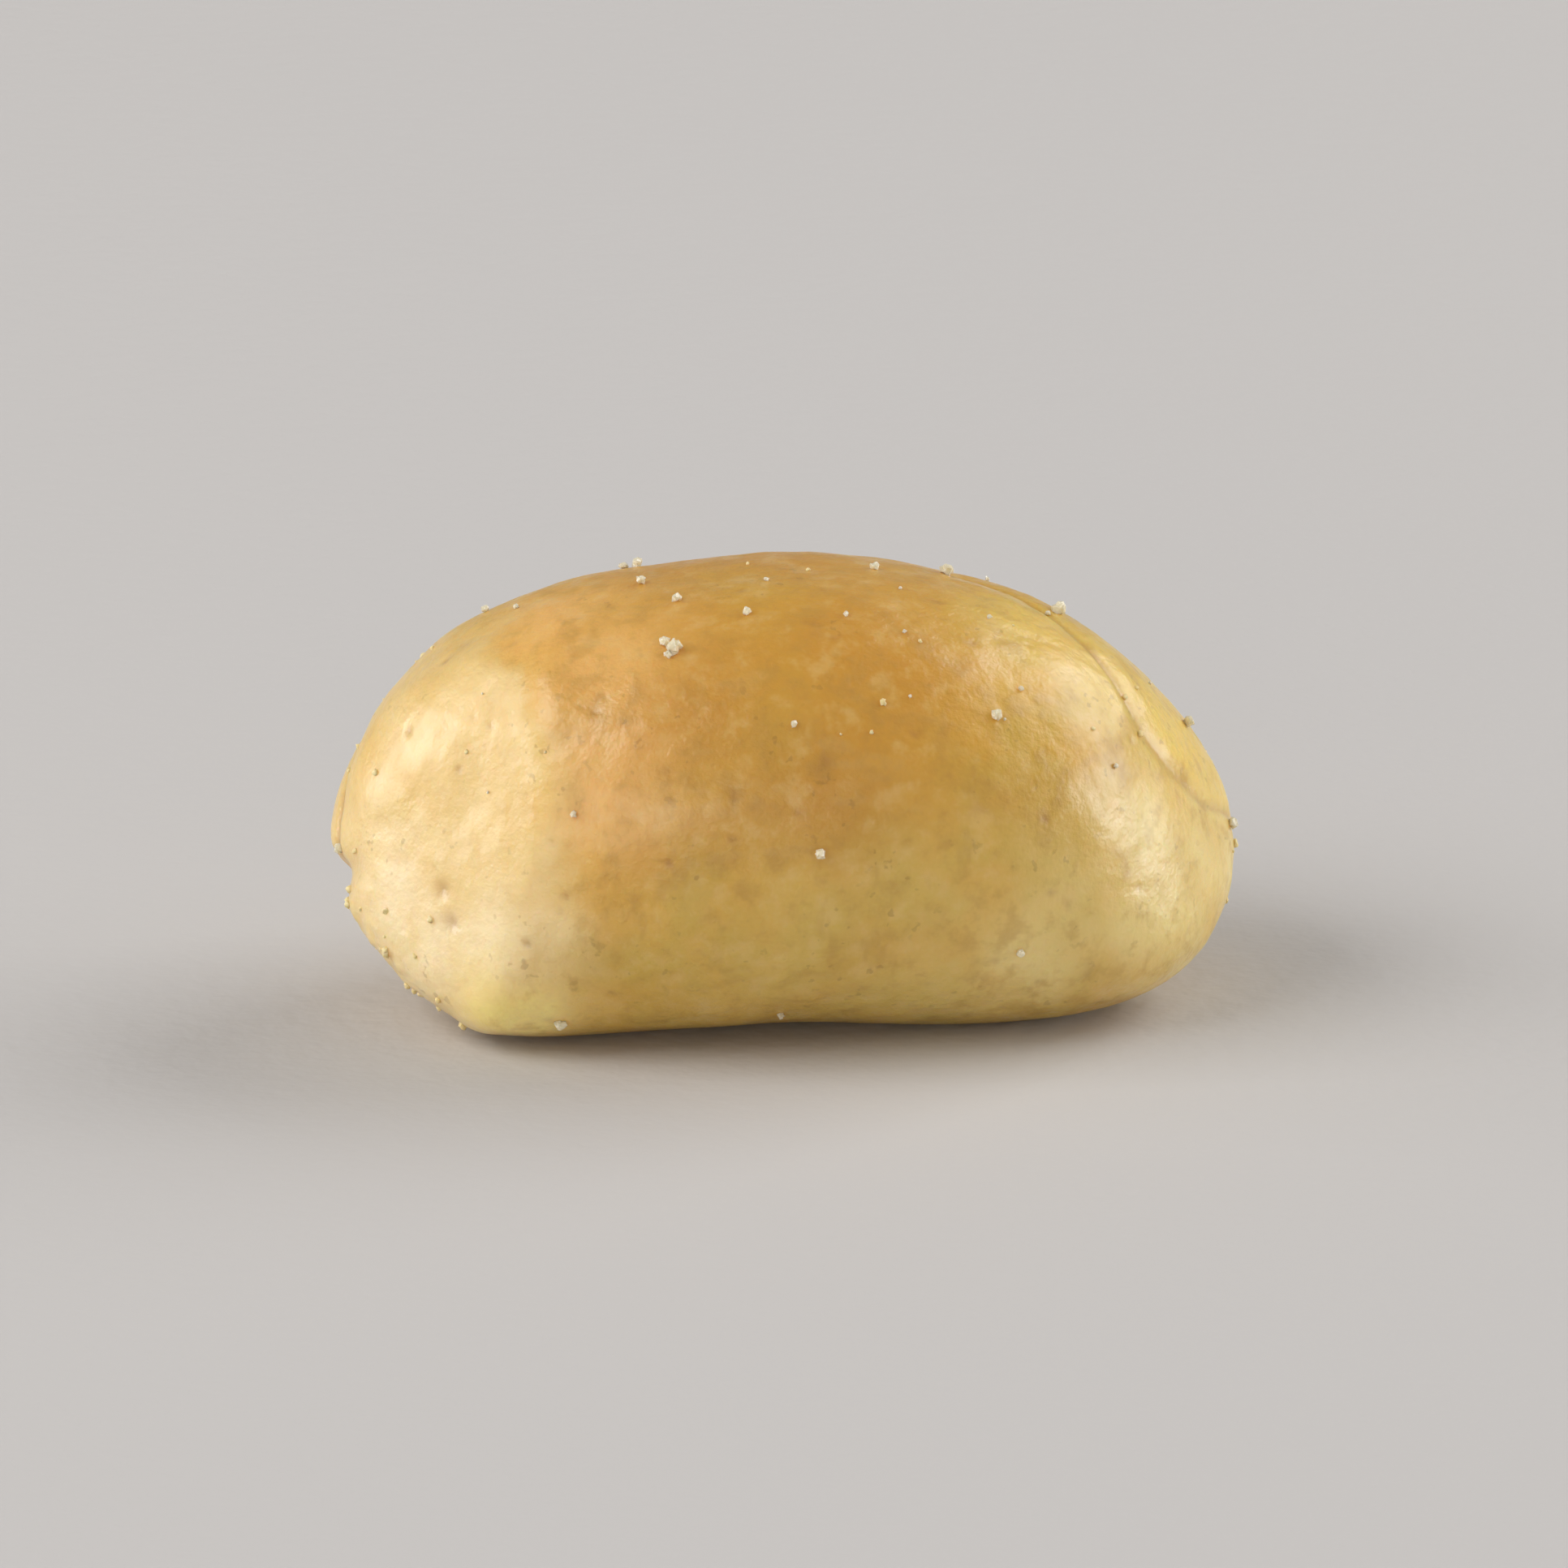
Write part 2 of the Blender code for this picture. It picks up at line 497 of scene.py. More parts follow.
def relief(point):
    """How far out the skin stands at a point. It fades to nothing on the flat spot."""
    swells = seam_relief(point) + left_end_relief(point) + right_end_relief(point) + undulation(point)
    holes = FLECK_DEPTH * fleck_mark(point) + PIT_DEPTH * pit_mark(point)
    return (swells - holes) * soft_step(point.z, 0.0, FOOT_FADE)


rest_places = [vert.co.copy() for vert in skin.verts]
heights = [relief(place) for place in rest_places]
for vert, place, height in zip(skin.verts, rest_places, heights):
    vert.co = place + vert.normal * height
    vert.co.z = max(0.0, vert.co.z)
skin.normal_update()
print("relief, mm, from", round(min(heights) / MM, 3), "to", round(max(heights) / MM, 3))

# %% [markdown]
# Colour marks
#
# Some marks are the leaf's own colour, and some are partly painted light. The left end is pale, partly as
# scuffed leaf and partly as a painted sheen, and the pale right end holds a painted highlight. The tan
# patch, the yellow patches where the leaf is thin, the lobe and the olive cast low on the front are lighter
# partly as painted light, and the crown is darker, partly browned by the roaster and partly as painted
# shade. These shares follow the nut's own shape, so they are kept on the mesh as attributes, and the
# material turns them into colour. They overlap, and their borders are ragged, the longest of them both
# coarsely and finely, because no border on a nut is clean.

# %% Places of the colours
# Height over the table and place along the nut of the pale end's border, in mm.
PALE_ROUTE = ((0.5, -5.6), (1.6, -5.2), (2.6, -4.6), (4.9, -4.5), (6.2, -4.65), (7.0, -5.7), (8.0, -6.4))
# the lobe's light yellow is partly painted light from below
LOBE_PIXELS = ((883.0, 1063.0),)
# the scuffed places low on the left end also hold painted highlights
SCUFF_AND_HIGHLIGHT_PIXELS = ((855.0, 1036.0), (863.0, 1050.0), (878.0, 1048.0))
# the tan patch is lighter partly as painted light from the left
TAN_PIXELS = ((899.0, 1008.0), (901.0, 982.0), (889.0, 972.0))
# the pale right end holds a painted highlight here
LEMON_PIXELS = ((1029.0, 1024.0), (1026.0, 1044.0), (1004.0, 1049.0))
# the upper right yellow is partly painted light from above right
RIGHT_YELLOW_PIXELS = ((1018.0, 985.0), (1033.0, 999.0), (1001.0, 974.0))
# the olive cast low on the front is lighter partly as painted light from below
GREEN_PIXELS = ((960.0, 1056.0),)

LOBE_RADIUS = 1.0 * MM
SCUFF_AND_HIGHLIGHT_RADIUS = 1.15 * MM
TAN_RADIUS = 1.5 * MM
LEMON_RADIUS = 1.5 * MM
RIGHT_YELLOW_RADIUS = 1.3 * MM
GREEN_RADIUS = 3.2 * MM

pale_border_at = smooth_route(PALE_ROUTE)
lobe_places = nut_points(LOBE_PIXELS)
scuff_and_highlight_places = nut_points(SCUFF_AND_HIGHLIGHT_PIXELS)
tan_places = nut_points(TAN_PIXELS)
lemon_places = nut_points(LEMON_PIXELS)
right_yellow_places = nut_points(RIGHT_YELLOW_PIXELS)
green_places = nut_points(GREEN_PIXELS)
print("pale end's border at half height, mm:", round(pale_border_at(nut_middle.z / MM), 2))

# %% Borders of the colours
# How each border wanders: grain, reach and shift of the noise, the coarse one first.
BORDERS = {
    "pale": ((1.1 * MM, 0.55 * MM, 11.0), (0.35 * MM, 0.16 * MM, 31.0)),
    "lemon": ((1.1 * MM, 0.50 * MM, 41.0), (0.35 * MM, 0.16 * MM, 51.0)),
    "scuff_and_highlight": ((0.9 * MM, 0.40 * MM, 25.0), (0.30 * MM, 0.15 * MM, 33.0)),
    "yellow": ((0.8 * MM, 0.35 * MM, 15.0),),
    "lobe": ((0.8 * MM, 0.25 * MM, 15.0),),
    "tan": ((1.0 * MM, 0.50 * MM, 19.0),),
}
PATCH_GRAIN = 0.9 * MM
PATCH_LEVEL, PATCH_SWING = 0.9, 0.5


def across_border(point, name):
    """A point moved about as the border of a colour wanders."""
    for grain, reach, shift in BORDERS[name]:
        point = ragged(point, grain, reach, shift)
    return point


def patchiness(point):
    """A factor near 1 that makes the two pale ends uneven."""
    return PATCH_LEVEL + PATCH_SWING * grain_noise(point, PATCH_GRAIN, 13.0)


print("borders:", ", ".join(BORDERS))

# %% Left end
PALE_SOFTNESS = 0.55 * MM
PALE_INSIDE = 0.5  # how far the softness reaches inside the border, as a share of how far it reaches outside
PALE_BLEED = 0.9 * MM  # how much softer the border is low down
PALE_BLEED_HEIGHTS = (4.4 * MM, 2.2 * MM)
PALE_BACK = (-4.2 * MM, -7.0 * MM)  # places along the nut between which the back turns pale
SCUFF_AND_HIGHLIGHT_STRENGTH = 1.1
LOBE_STRENGTH = 1.2


def pale_and_sheen_share(point):
    """The cream-coloured left end: partly paler, scuffed leaf and partly a painted sheen where it faces the
    left lights.
    """
    bent = across_border(point, "pale")
    border = pale_border_at(bent.z / MM) * MM
    softness = PALE_SOFTNESS + PALE_BLEED * soft_step(bent.z, *PALE_BLEED_HEIGHTS)
    front = soft_step(bent.x - border, softness, -PALE_INSIDE * softness)
    back = soft_step(bent.x, *PALE_BACK)
    return limited((back + (front - back) * front_share(point)) * patchiness(point))


def lobe_and_painted_light_share(point):
    """The lobe under the left end, the lightest yellow of all: partly its own yellow, partly painted light
    from below.
    """
    return limited(LOBE_STRENGTH * nearest_spot(across_border(point, "lobe"), lobe_places, LOBE_RADIUS))


def scuff_and_highlight_share(point):
    """The palest part of the pressed end, low down: partly surface rubbed to meal, partly painted
    highlights.
    """
    rubbed = SCUFF_AND_HIGHLIGHT_STRENGTH * nearest_spot(across_border(point, "scuff_and_highlight"), scuff_and_highlight_places, SCUFF_AND_HIGHLIGHT_RADIUS)
    return limited(rubbed) * (1 - lobe_and_painted_light_share(point))


def tan_and_painted_light_share(point):
    """The warm orange patch right of the ridge and on the shoulder: partly orange, partly painted light from
    the left.
    """
    return nearest_spot(across_border(point, "tan"), tan_places, TAN_RADIUS) * (1 - pale_and_sheen_share(point))


print("pale, scuffed and tan at the hollow:", [
    round(share(hollow), 2) for share in (pale_and_sheen_share, scuff_and_highlight_share, tan_and_painted_light_share)
])

# %% Right end
LEMON_ALONG = (5.0 * MM, 7.2 * MM)  # places along the nut between which the tip turns pale
LEMON_HEIGHTS = (5.2 * MM, 3.6 * MM)
LEMON_TIP = 0.8
LEMON_UNDER_YELLOW = 0.6  # how much of it the yellow hides
RIGHT_YELLOW_STRENGTH = 0.75
GERM_YELLOW = 0.3


def yellow_and_painted_light_share(point):
    """Yellow where the leaf is thin, on the upper right and the germ; on the upper right also painted light.
    """
    right = nearest_spot(across_border(point, "yellow"), right_yellow_places, RIGHT_YELLOW_RADIUS)
    return limited(RIGHT_YELLOW_STRENGTH * right + GERM_YELLOW * germ_share(point))


def lemon_and_highlight_share(point):
    """The right end, as pale as the left one but greener: partly its own colour, partly a painted highlight.
    """
    bent = across_border(point, "lemon")
    tip = LEMON_TIP * soft_step(bent.x, *LEMON_ALONG) * soft_step(bent.z, *LEMON_HEIGHTS)
    pale = max(nearest_spot(bent, lemon_places, LEMON_RADIUS), tip)
    return limited(pale * patchiness(point) * (1 - LEMON_UNDER_YELLOW * yellow_and_painted_light_share(point)))


print("lemon and yellow at the right swell:", [
    round(share(right_swell), 2) for share in (lemon_and_highlight_share, yellow_and_painted_light_share)
])

# %% Crown, belly and grooves
# the darker crown is partly roasting and partly painted shade on the top
ROAST_AND_SHADE_HEIGHTS = (3.2 * MM, 6.2 * MM)
ROAST_AND_SHADE_MIDDLE = -0.6 * MM  # along the nut
ROAST_AND_SHADE_REACH = (5.6 * MM, 1.8 * MM)  # distances from that middle
ROAST_AND_SHADE_STRENGTH = 0.85
ROAST_PATCHES, ROAST_GRAIN = 0.5, 1.9 * MM
GREEN_PATCHES, GREEN_GRAIN = 0.4, 1.6 * MM
BROWN_MARKS = (  # how brown each kind of mark is
    (seam_mark, 0.5), (germ_back_mark, 0.5), (notch_mark, 0.3),
    (dent_mark, 0.4), (fleck_mark, 0.4), (pit_mark, 0.5),
)


def roast_and_shade_share(point):
    """The crown, darker: partly browned most by the roaster, partly painted shade where little light falls.
    """
    away = abs(point.x - ROAST_AND_SHADE_MIDDLE)
    crown = soft_step(point.z, *ROAST_AND_SHADE_HEIGHTS) * soft_step(away, *ROAST_AND_SHADE_REACH)
    return limited(ROAST_AND_SHADE_STRENGTH * crown + ROAST_PATCHES * grain_noise(point, ROAST_GRAIN, 17.0))


def green_and_painted_light_share(point):
    """A faint olive cast low on the front, lighter than the gold: partly its own tint, partly painted light.
    """
    cast = nearest_spot(point, green_places, GREEN_RADIUS)
    return limited(cast + GREEN_PATCHES * grain_noise(point, GREEN_GRAIN, 23.0))


def brown_share(point):
    """What lies in seams, dents, flecks and pinholes."""
    return limited(sum(strength * mark(point) for mark, strength in BROWN_MARKS))


# Each share's name is the name of the attribute that keeps it.
COLOUR_MARKS = {
    "pale": pale_and_sheen_share,
    "lemon": lemon_and_highlight_share,
    "yellow": yellow_and_painted_light_share,
    "lobe": lobe_and_painted_light_share,
    "scuff_and_highlight": scuff_and_highlight_share,
    "roast_and_shade": roast_and_shade_share,
    "tan": tan_and_painted_light_share,
    "green": green_and_painted_light_share,
    "brown": brown_share,
}

# %% Make the skin an object


def object_from(bm, name):
    """Turns a bmesh into a smooth object at the origin."""
    mesh = bpy.data.meshes.new(name)
    bm.to_mesh(mesh)
    mesh.shade_smooth()
    made = bpy.data.objects.new(name, mesh)
    bpy.context.scene.collection.objects.link(made)
    return made


roasted_kernel = object_from(skin, "roasted_kernel")
for mark_name, mark_share in COLOUR_MARKS.items():
    mark = roasted_kernel.data.attributes.new(mark_name, "FLOAT", "POINT")
    mark.data.foreach_set("value", [mark_share(place) for place in rest_places])
skin_tree = BVHTree.FromBMesh(skin)
skin.free()
print("kernel:", len(roasted_kernel.data.polygons), "faces, marks:", ", ".join(COLOUR_MARKS))

# %% [markdown]
# Helpers for materials
#
# Colours are written as the sRGB hex values that a picture shows, and shaders want linear light, so one
# function turns one into the other. A second one adds a node with its settings and its links. A third
# starts a material and sets those sockets of its shader that are the same all over the surface.

# %% Colour and node helpers


def linear(hex_colour):
    """Linear RGBA for an sRGB hex colour such as "d9b368"."""
    shares = [int(hex_colour[start:start + 2], 16) / 255 for start in (0, 2, 4)]
    light = [share / 12.92 if share <= 0.04045 else ((share + 0.055) / 1.055) ** 2.4 for share in shares]
    return (*light, 1.0)


def add_node(tree, kind, inputs=None, **settings):
    """Adds a node. Each input is a value, or the output socket of another node that feeds it."""
    node = tree.nodes.new(kind)
    for name, value in settings.items():
        setattr(node, name, value)
    for name, value in (inputs or {}).items():
        if isinstance(value, bpy.types.NodeSocket):
            tree.links.new(value, node.inputs[name])
        else:
            node.inputs[name].default_value = value
    return node


MIX_FACTOR, MIX_A, MIX_B, MIX_RESULT = 0, 6, 7, 2  # a Mix node's colour sockets, whose names repeat


def new_material(name, sockets):
    """A material with its node tree and its surface shader. Each socket named gets one plain value."""
    material = bpy.data.materials.new(name)
    material.use_nodes = True
    surface = material.node_tree.nodes["Principled BSDF"]
    for socket, value in sockets.items():
        surface.inputs[socket].default_value = value
    return material, material.node_tree, surface


print("a middle grey of sRGB 808080 is linear", round(linear("808080")[0], 3))

# %% [markdown]
# Roasted seed leaf
#
# A peanut's flesh is starch and oil. Roasting dries and browns it, and the oil that comes out gives a satin
# shine. Light goes about a millimetre into it, which softens its shadows and warms its thin edges. Close
# up, the colour is never even: pale and golden patches a millimetre or two wide, faint lengthwise veins,
# and tiny brown flecks of skin that the blancher left. The grain of the surface is its cells, about 0.1 mm
# across.

# %% Patterns of the leaf
EVEN = (1.0, 1.0, 1.0)
LENGTHWISE = (0.3, 1.0, 1.0)  # a scale under 1 stretches a pattern along that axis
UPRIGHT = (1.0, 1.0, 0.45)

LEAF_PATTERNS = {  # grain, detail, roughness and stretch of each noise
    "blotches": (1.7 * MM, 3.0, 0.5, EVEN),  # patches of colour
    "mottles": (0.55 * MM, 3.0, 0.6, EVEN),  # smaller patches
    "specks": (0.22 * MM, 2.0, 0.5, EVEN),  # bits of brown skin
    "cells": (0.10 * MM, 2.0, 0.6, EVEN),  # surface grain
    "smudges": (0.75 * MM, 3.0, 0.65, UPRIGHT),  # faint darker streaks
    "veins": (0.40 * MM, 1.0, 0.5, LENGTHWISE),
}
LEAF_SHARES = {  # a pattern or mark, its values at the start and the end, and the share at either
    "olive patches": ("blotches", 0.40, 0.60, 0.0, 1.0),
    "brown specks": ("specks", 0.64, 0.71, 0.0, 1.0),
    "speckled patches": ("blotches", 0.42, 0.60, 0.0, 0.3),
    "thin veins": ("veins", 0.56, 0.68, 0.0, 1.0),
    "veined patches": ("mottles", 0.42, 0.58, 0.0, 0.12),
    "dark mottles": ("mottles", 0.48, 0.72, 0.0, 1.0),
    "light mottles": ("mottles", 0.52, 0.28, 0.0, 1.0),
    "dark streaks": ("smudges", 0.55, 0.68, 0.0, 1.0),
    "mottled away from pale": ("pale", 0.0, 0.8, 0.42, 0.12),
    "streaked away from pale": ("pale", 0.0, 0.8, 0.32, 0.08),
    "oil film": ("mottles", 0.35, 0.65, 0.33, 0.46),  # roughness, lower where the oil lies thicker
}


def leaf_sockets(tree):
    """Every pattern, mark and share by name, each as the socket of a node."""
    where = add_node(tree, "ShaderNodeTexCoord").outputs["Object"]
    sockets = {}
    for name in COLOUR_MARKS:
        sockets[name] = add_node(tree, "ShaderNodeAttribute", attribute_name=name).outputs["Fac"]
    for name, (grain, detail, roughness, stretch) in LEAF_PATTERNS.items():
        stretched = add_node(tree, "ShaderNodeMapping", {"Vector": where, "Scale": stretch})
        texture = {
            "Vector": stretched.outputs[0], "Scale": 1 / grain, "Detail": detail, "Roughness": roughness,
        }
        sockets[name] = add_node(tree, "ShaderNodeTexNoise", texture).outputs["Fac"]
    for name, (source, start, end, low, high) in LEAF_SHARES.items():
        limits = {
            "Value": sockets[source], "From Min": start, "From Max": end, "To Min": low, "To Max": high,
        }
        share = add_node(tree, "ShaderNodeMapRange", limits, interpolation_type="SMOOTHSTEP")
        sockets[name] = share.outputs["Result"]
    return sockets


print("patterns:", ", ".join(LEAF_PATTERNS))

# %% Colours of the leaf
GOLD = "daab44"
OLIVE = "d0aa44"
# darker brown of the crown, partly roasting and partly painted shade
ROAST_AND_SHADE = "cd9534"
# light orange tan, partly painted light from the left
TAN_AND_LIGHT = "f1bb6c"
# cream of the pale left end, partly a painted sheen there, and the own colour of veins and light mottles
CREAM = "e8c885"
# pale lemon of the right end, partly a painted highlight
LEMON_AND_HIGHLIGHT = "eed890"
# yellow of thin leaf, on the upper right partly painted light
YELLOW_AND_LIGHT = "f2d164"
# light olive, partly painted light low on the front
GREEN_AND_LIGHT = "e0c56e"
BROWN = "94622c"
FLECK = "8a6428"
# lightest yellow of the lobe, partly painted light from below
LOBE_AND_LIGHT = "ffe58f"
# palest cream: rubbed surface and painted highlight low on the left end
SCUFF_AND_HIGHLIGHT = "f6e2b6"
SHADE = "b98c3c"

# What lies over the gold, the lowest first: where, how strongly (a number or another share) and in which
# colour.
LEAF_LAYERS = (
    ("olive patches", 1.0, OLIVE),
    # olive cast: partly its own tint, partly painted light low on the front
    ("green", 0.58, GREEN_AND_LIGHT),
    # crown: partly browned by roasting, partly painted shade
    ("roast_and_shade", 1.0, ROAST_AND_SHADE),
    # tan: partly orange tint, partly painted light from the left
    ("tan", 0.78, TAN_AND_LIGHT),
    # pale left end: partly its own cream, partly a painted sheen
    ("pale", 1.0, CREAM),
    # lemon: partly its own pale colour, partly a painted highlight
    ("lemon", 0.9, LEMON_AND_HIGHLIGHT),
    # yellow: partly its own tint, partly painted light on the upper right
    ("yellow", 0.8, YELLOW_AND_LIGHT),
    # lobe: partly its own yellow, partly painted light from below
    ("lobe", 1.0, LOBE_AND_LIGHT),
    # scuffed places: partly rubbed surface, partly painted highlights
    ("scuff_and_highlight", 0.8, SCUFF_AND_HIGHLIGHT),
    ("thin veins", "veined patches", CREAM),
    ("dark mottles", "mottled away from pale", SHADE),
    ("light mottles", 0.36, CREAM),
    ("dark streaks", "streaked away from pale", SHADE),
    ("brown specks", "speckled patches", FLECK),
    ("brown", 0.8, BROWN),
)


def leaf_colour(tree, sockets):
    """The socket that gives the leaf's colour."""
    colour = linear(GOLD)
    for name, strength, hue in LEAF_LAYERS:
        factors = {0: sockets[name], 1: sockets.get(strength, strength)}
        share = add_node(tree, "ShaderNodeMath", factors, operation="MULTIPLY").outputs[0]
        mix = {MIX_FACTOR: share, MIX_A: colour, MIX_B: linear(hue)}
        colour = add_node(tree, "ShaderNodeMix", mix, data_type="RGBA").outputs[MIX_RESULT]
    return colour


print("layers of colour:", len(LEAF_LAYERS))

# %% Kernel material
OIL_IOR = 1.47
LEAF_GLOW = (1.0, 0.6, 0.25)  # red light goes furthest into the leaf
CELL_HEIGHT = 0.014 * MM
MOTTLE_HEIGHT = 0.06 * MM


def kernel_material():
    """Satin and golden. Light enters the leaf, which softens the shadows, and the oil film shines."""
    material, tree, surface = new_material("roasted_seed_leaf", {
        "IOR": OIL_IOR,
        "Subsurface Weight": 0.6,
        "Subsurface Radius": LEAF_GLOW,
        "Subsurface Scale": 1.1 * MM,
        "Coat Weight": 0.45,
        "Coat Roughness": 0.26,
    })
    sockets = leaf_sockets(tree)
    cells = {"Height": sockets["cells"], "Strength": 1.0, "Distance": CELL_HEIGHT}
    grain = add_node(tree, "ShaderNodeBump", cells).outputs[0]
    mottles = {"Height": sockets["mottles"], "Strength": 1.0, "Distance": MOTTLE_HEIGHT, "Normal": grain}
    lumps = add_node(tree, "ShaderNodeBump", mottles).outputs[0]
    tree.links.new(leaf_colour(tree, sockets), surface.inputs["Base Color"])
    tree.links.new(sockets["oil film"], surface.inputs["Roughness"])
    tree.links.new(lumps, surface.inputs["Normal"])
    return material


roasted_kernel.data.materials.append(kernel_material())
print("material:", roasted_kernel.data.materials[0].name)

# %% [markdown]
# Grains of salt, and crumbs
#
# Fine salt is crushed cubes, a tenth to a third of a millimetre wide, whose corners have broken off. The
# oil holds each grain by one side, so most of it stands out of the skin, at any angle. Crumbs of broken
# nuts stick in the same way but sink in deeper, mostly on the scuffed left end, where they make the outline
# ragged. One bmesh holds all the grains of a kind. Each grain is a ball of 80 facets, squeezed and turned
# at random, and its corners are moved about so that no two are alike. A bevelled cube has as few faces, but
# looks like a die.

# %% Grains
BARE_BELLY = 0.9 * MM  # below this height the grains have been rubbed off
DUSTY_CROWN = 4.6 * MM  # above this height they lie all round
GRAIN_RAGGED = 0.14  # share of its size that a corner may be out of place
GRAIN_SQUEEZE = (0.7, 1.15)  # shares of its size that a grain's sides may measure
GRAIN_ROUNDNESS = 2  # a ball of 80 facets

rng = random.Random(16)


def add_grain(bm, place, size, sunk):
    """One grain on the skin, nearest to a place and turned at random. Sunk is its share under the skin."""
    foot, normal, _, _ = skin_tree.find_nearest(place)
    turned = Euler([rng.uniform(0, math.tau) for _ in range(3)]).to_matrix().to_4x4()
    sides = Matrix.Diagonal([size * rng.uniform(*GRAIN_SQUEEZE) for _ in range(3)] + [1.0])
    seat = Matrix.Translation(foot + normal * size * (0.5 - sunk))
    placed = seat @ turned @ sides
    ball = bmesh.ops.create_icosphere(bm, subdivisions=GRAIN_ROUNDNESS, radius=0.5, matrix=placed)
    for vert in ball["verts"]:
        vert.co += Vector([rng.uniform(-1, 1) for _ in range(3)]) * size * GRAIN_RAGGED


def random_place():
    """A place on the crown or the back. Dust settles there and stays, and the front has been rubbed bare."""
    while True:
        place = point_towards(skin_tree, Vector([rng.gauss(0, 1) for _ in range(3)]).normalized())
        if place.z > DUSTY_CROWN or (place.y > 0 and place.z > BARE_BELLY):
            return place


def place_near(centre, reach):
    """A random place within a few reaches of a centre."""
    return centre + Vector([rng.gauss(0, reach) for _ in range(3)])


print("corners move by up to", round(GRAIN_RAGGED * 100), "% of a grain")

# %% Salt
BIG_GRAINS = (  # a cluster of three, each with its pixel and size
    ((918.6, 978.8), 0.30 * MM), ((916.4, 977.2), 0.19 * MM), ((917.2, 980.2), 0.15 * MM),
)
GRAIN_PIXELS = (
    (906.8, 958.6), (910.0, 958.2), (911.0, 963.3), (919.1, 967.2), (935.3, 970.7), (964.4, 960.5),
    (981.2, 959.9), (840.2, 1024.8), (1036.3, 995.9), (1046.0, 1019.0), (943.0, 1062.5), (998.0, 1048.5),
    (952.1, 1025.8), (992.4, 994.2), (892.5, 1064.5), (946.1, 996.0), (875.5, 970.5), (1007.0, 969.5),
)
GRAIN_SIZES = (0.14 * MM, 0.24 * MM)
DUST_SIZES = (0.05 * MM, 0.12 * MM)
DUST_COUNT = 36
SALT_SUNK = 0.2

salt = bmesh.new()
for pixel, size in BIG_GRAINS:
    add_grain(salt, nut_point(pixel), size, SALT_SUNK)
for pixel in GRAIN_PIXELS:
    add_grain(salt, nut_point(pixel), rng.uniform(*GRAIN_SIZES), SALT_SUNK)
for _ in range(DUST_COUNT):
    add_grain(salt, random_place(), rng.uniform(*DUST_SIZES), SALT_SUNK)
salt_grains = object_from(salt, "salt_grains")
salt_grains.data.shade_flat()
salt.free()
print("salt:", len(BIG_GRAINS) + len(GRAIN_PIXELS) + DUST_COUNT, "grains")

# %% Crumbs
CRUMB_SIZES = (0.05 * MM, 0.17 * MM)
CRUMB_SUNK = 0.42
CRUMBS_PER_PLACE, CRUMB_SPREAD = 10, 0.55 * MM
RIM_PIXELS = ((860.0, 981.0), (841.5, 1004.5), (850.0, 992.0), (1041.0, 1003.0), (1046.5, 1030.0))
CRUMBS_PER_RIM, RIM_SPREAD = 3, 0.275 * MM
STRAY_CRUMBS = 24

crumb_groups = (
    (crumb_places, CRUMBS_PER_PLACE, CRUMB_SPREAD),
    (nut_points(RIM_PIXELS), CRUMBS_PER_RIM, RIM_SPREAD),
)
crumbs = bmesh.new()
for centres, count, spread in crumb_groups:
    for centre in centres:
        for _ in range(count):
            add_grain(crumbs, place_near(centre, spread), rng.uniform(*CRUMB_SIZES), CRUMB_SUNK)
for _ in range(STRAY_CRUMBS):
    add_grain(crumbs, random_place(), rng.uniform(*CRUMB_SIZES), CRUMB_SUNK)
nut_crumbs = object_from(crumbs, "nut_crumbs")
crumbs.free()
print("crumbs:", len(nut_crumbs.data.polygons), "faces")

# %% [markdown]
# Salt crystal and crumb
#
# Halite is clear, with an index of refraction of 1.54, but a crushed grain is full of cracks and looks
# white. Part of the light still passes through, which lets the gold of the nut tint it. A crumb is the same
# flesh as the nut, broken, so it is paler and has no oily film.

# %% Rough surfaces
ROUGH_STRENGTH = 0.7


def roughen(tree, surface, grain, height):
    """Gives a surface bumps of a given grain and height, as on a break or on felted fibres."""
    where = add_node(tree, "ShaderNodeTexCoord").outputs["Object"]
    bumps = add_node(tree, "ShaderNodeTexNoise", {"Vector": where, "Scale": 1 / grain, "Detail": 2.0})
    raised = {"Height": bumps.outputs["Fac"], "Strength": ROUGH_STRENGTH, "Distance": height}
    tree.links.new(add_node(tree, "ShaderNodeBump", raised).outputs[0], surface.inputs["Normal"])


# %% Salt material
SALT_WHITE = "faeac8"
HALITE_IOR = 1.54
SALT_GLOW = (1.0, 0.95, 0.85)
CRACK = 0.05 * MM
CRACK_HEIGHT = 0.01 * MM


def salt_material():
    """White with a little glint: the cracks scatter the light, and some of it passes through."""
    material, tree, surface = new_material("crushed_halite", {
        "Base Color": linear(SALT_WHITE),
        "Roughness": 0.25,
        "IOR": HALITE_IOR,
        "Transmission Weight": 0.2,
        "Subsurface Weight": 0.7,
        "Subsurface Radius": SALT_GLOW,
        "Subsurface Scale": 0.15 * MM,
    })
    roughen(tree, surface, CRACK, CRACK_HEIGHT)
    return material


salt_grains.data.materials.append(salt_material())
print("material:", salt_grains.data.materials[0].name)

# %% Crumb material
CRUMB_PALE = "fbe6b4"
CRUMB_TAN = "eac67e"
CRUMB_PATCH = 1.7 * MM  # far wider than a crumb, so that each crumb has one shade
CRUMB_BREAK_HEIGHT = 0.02 * MM


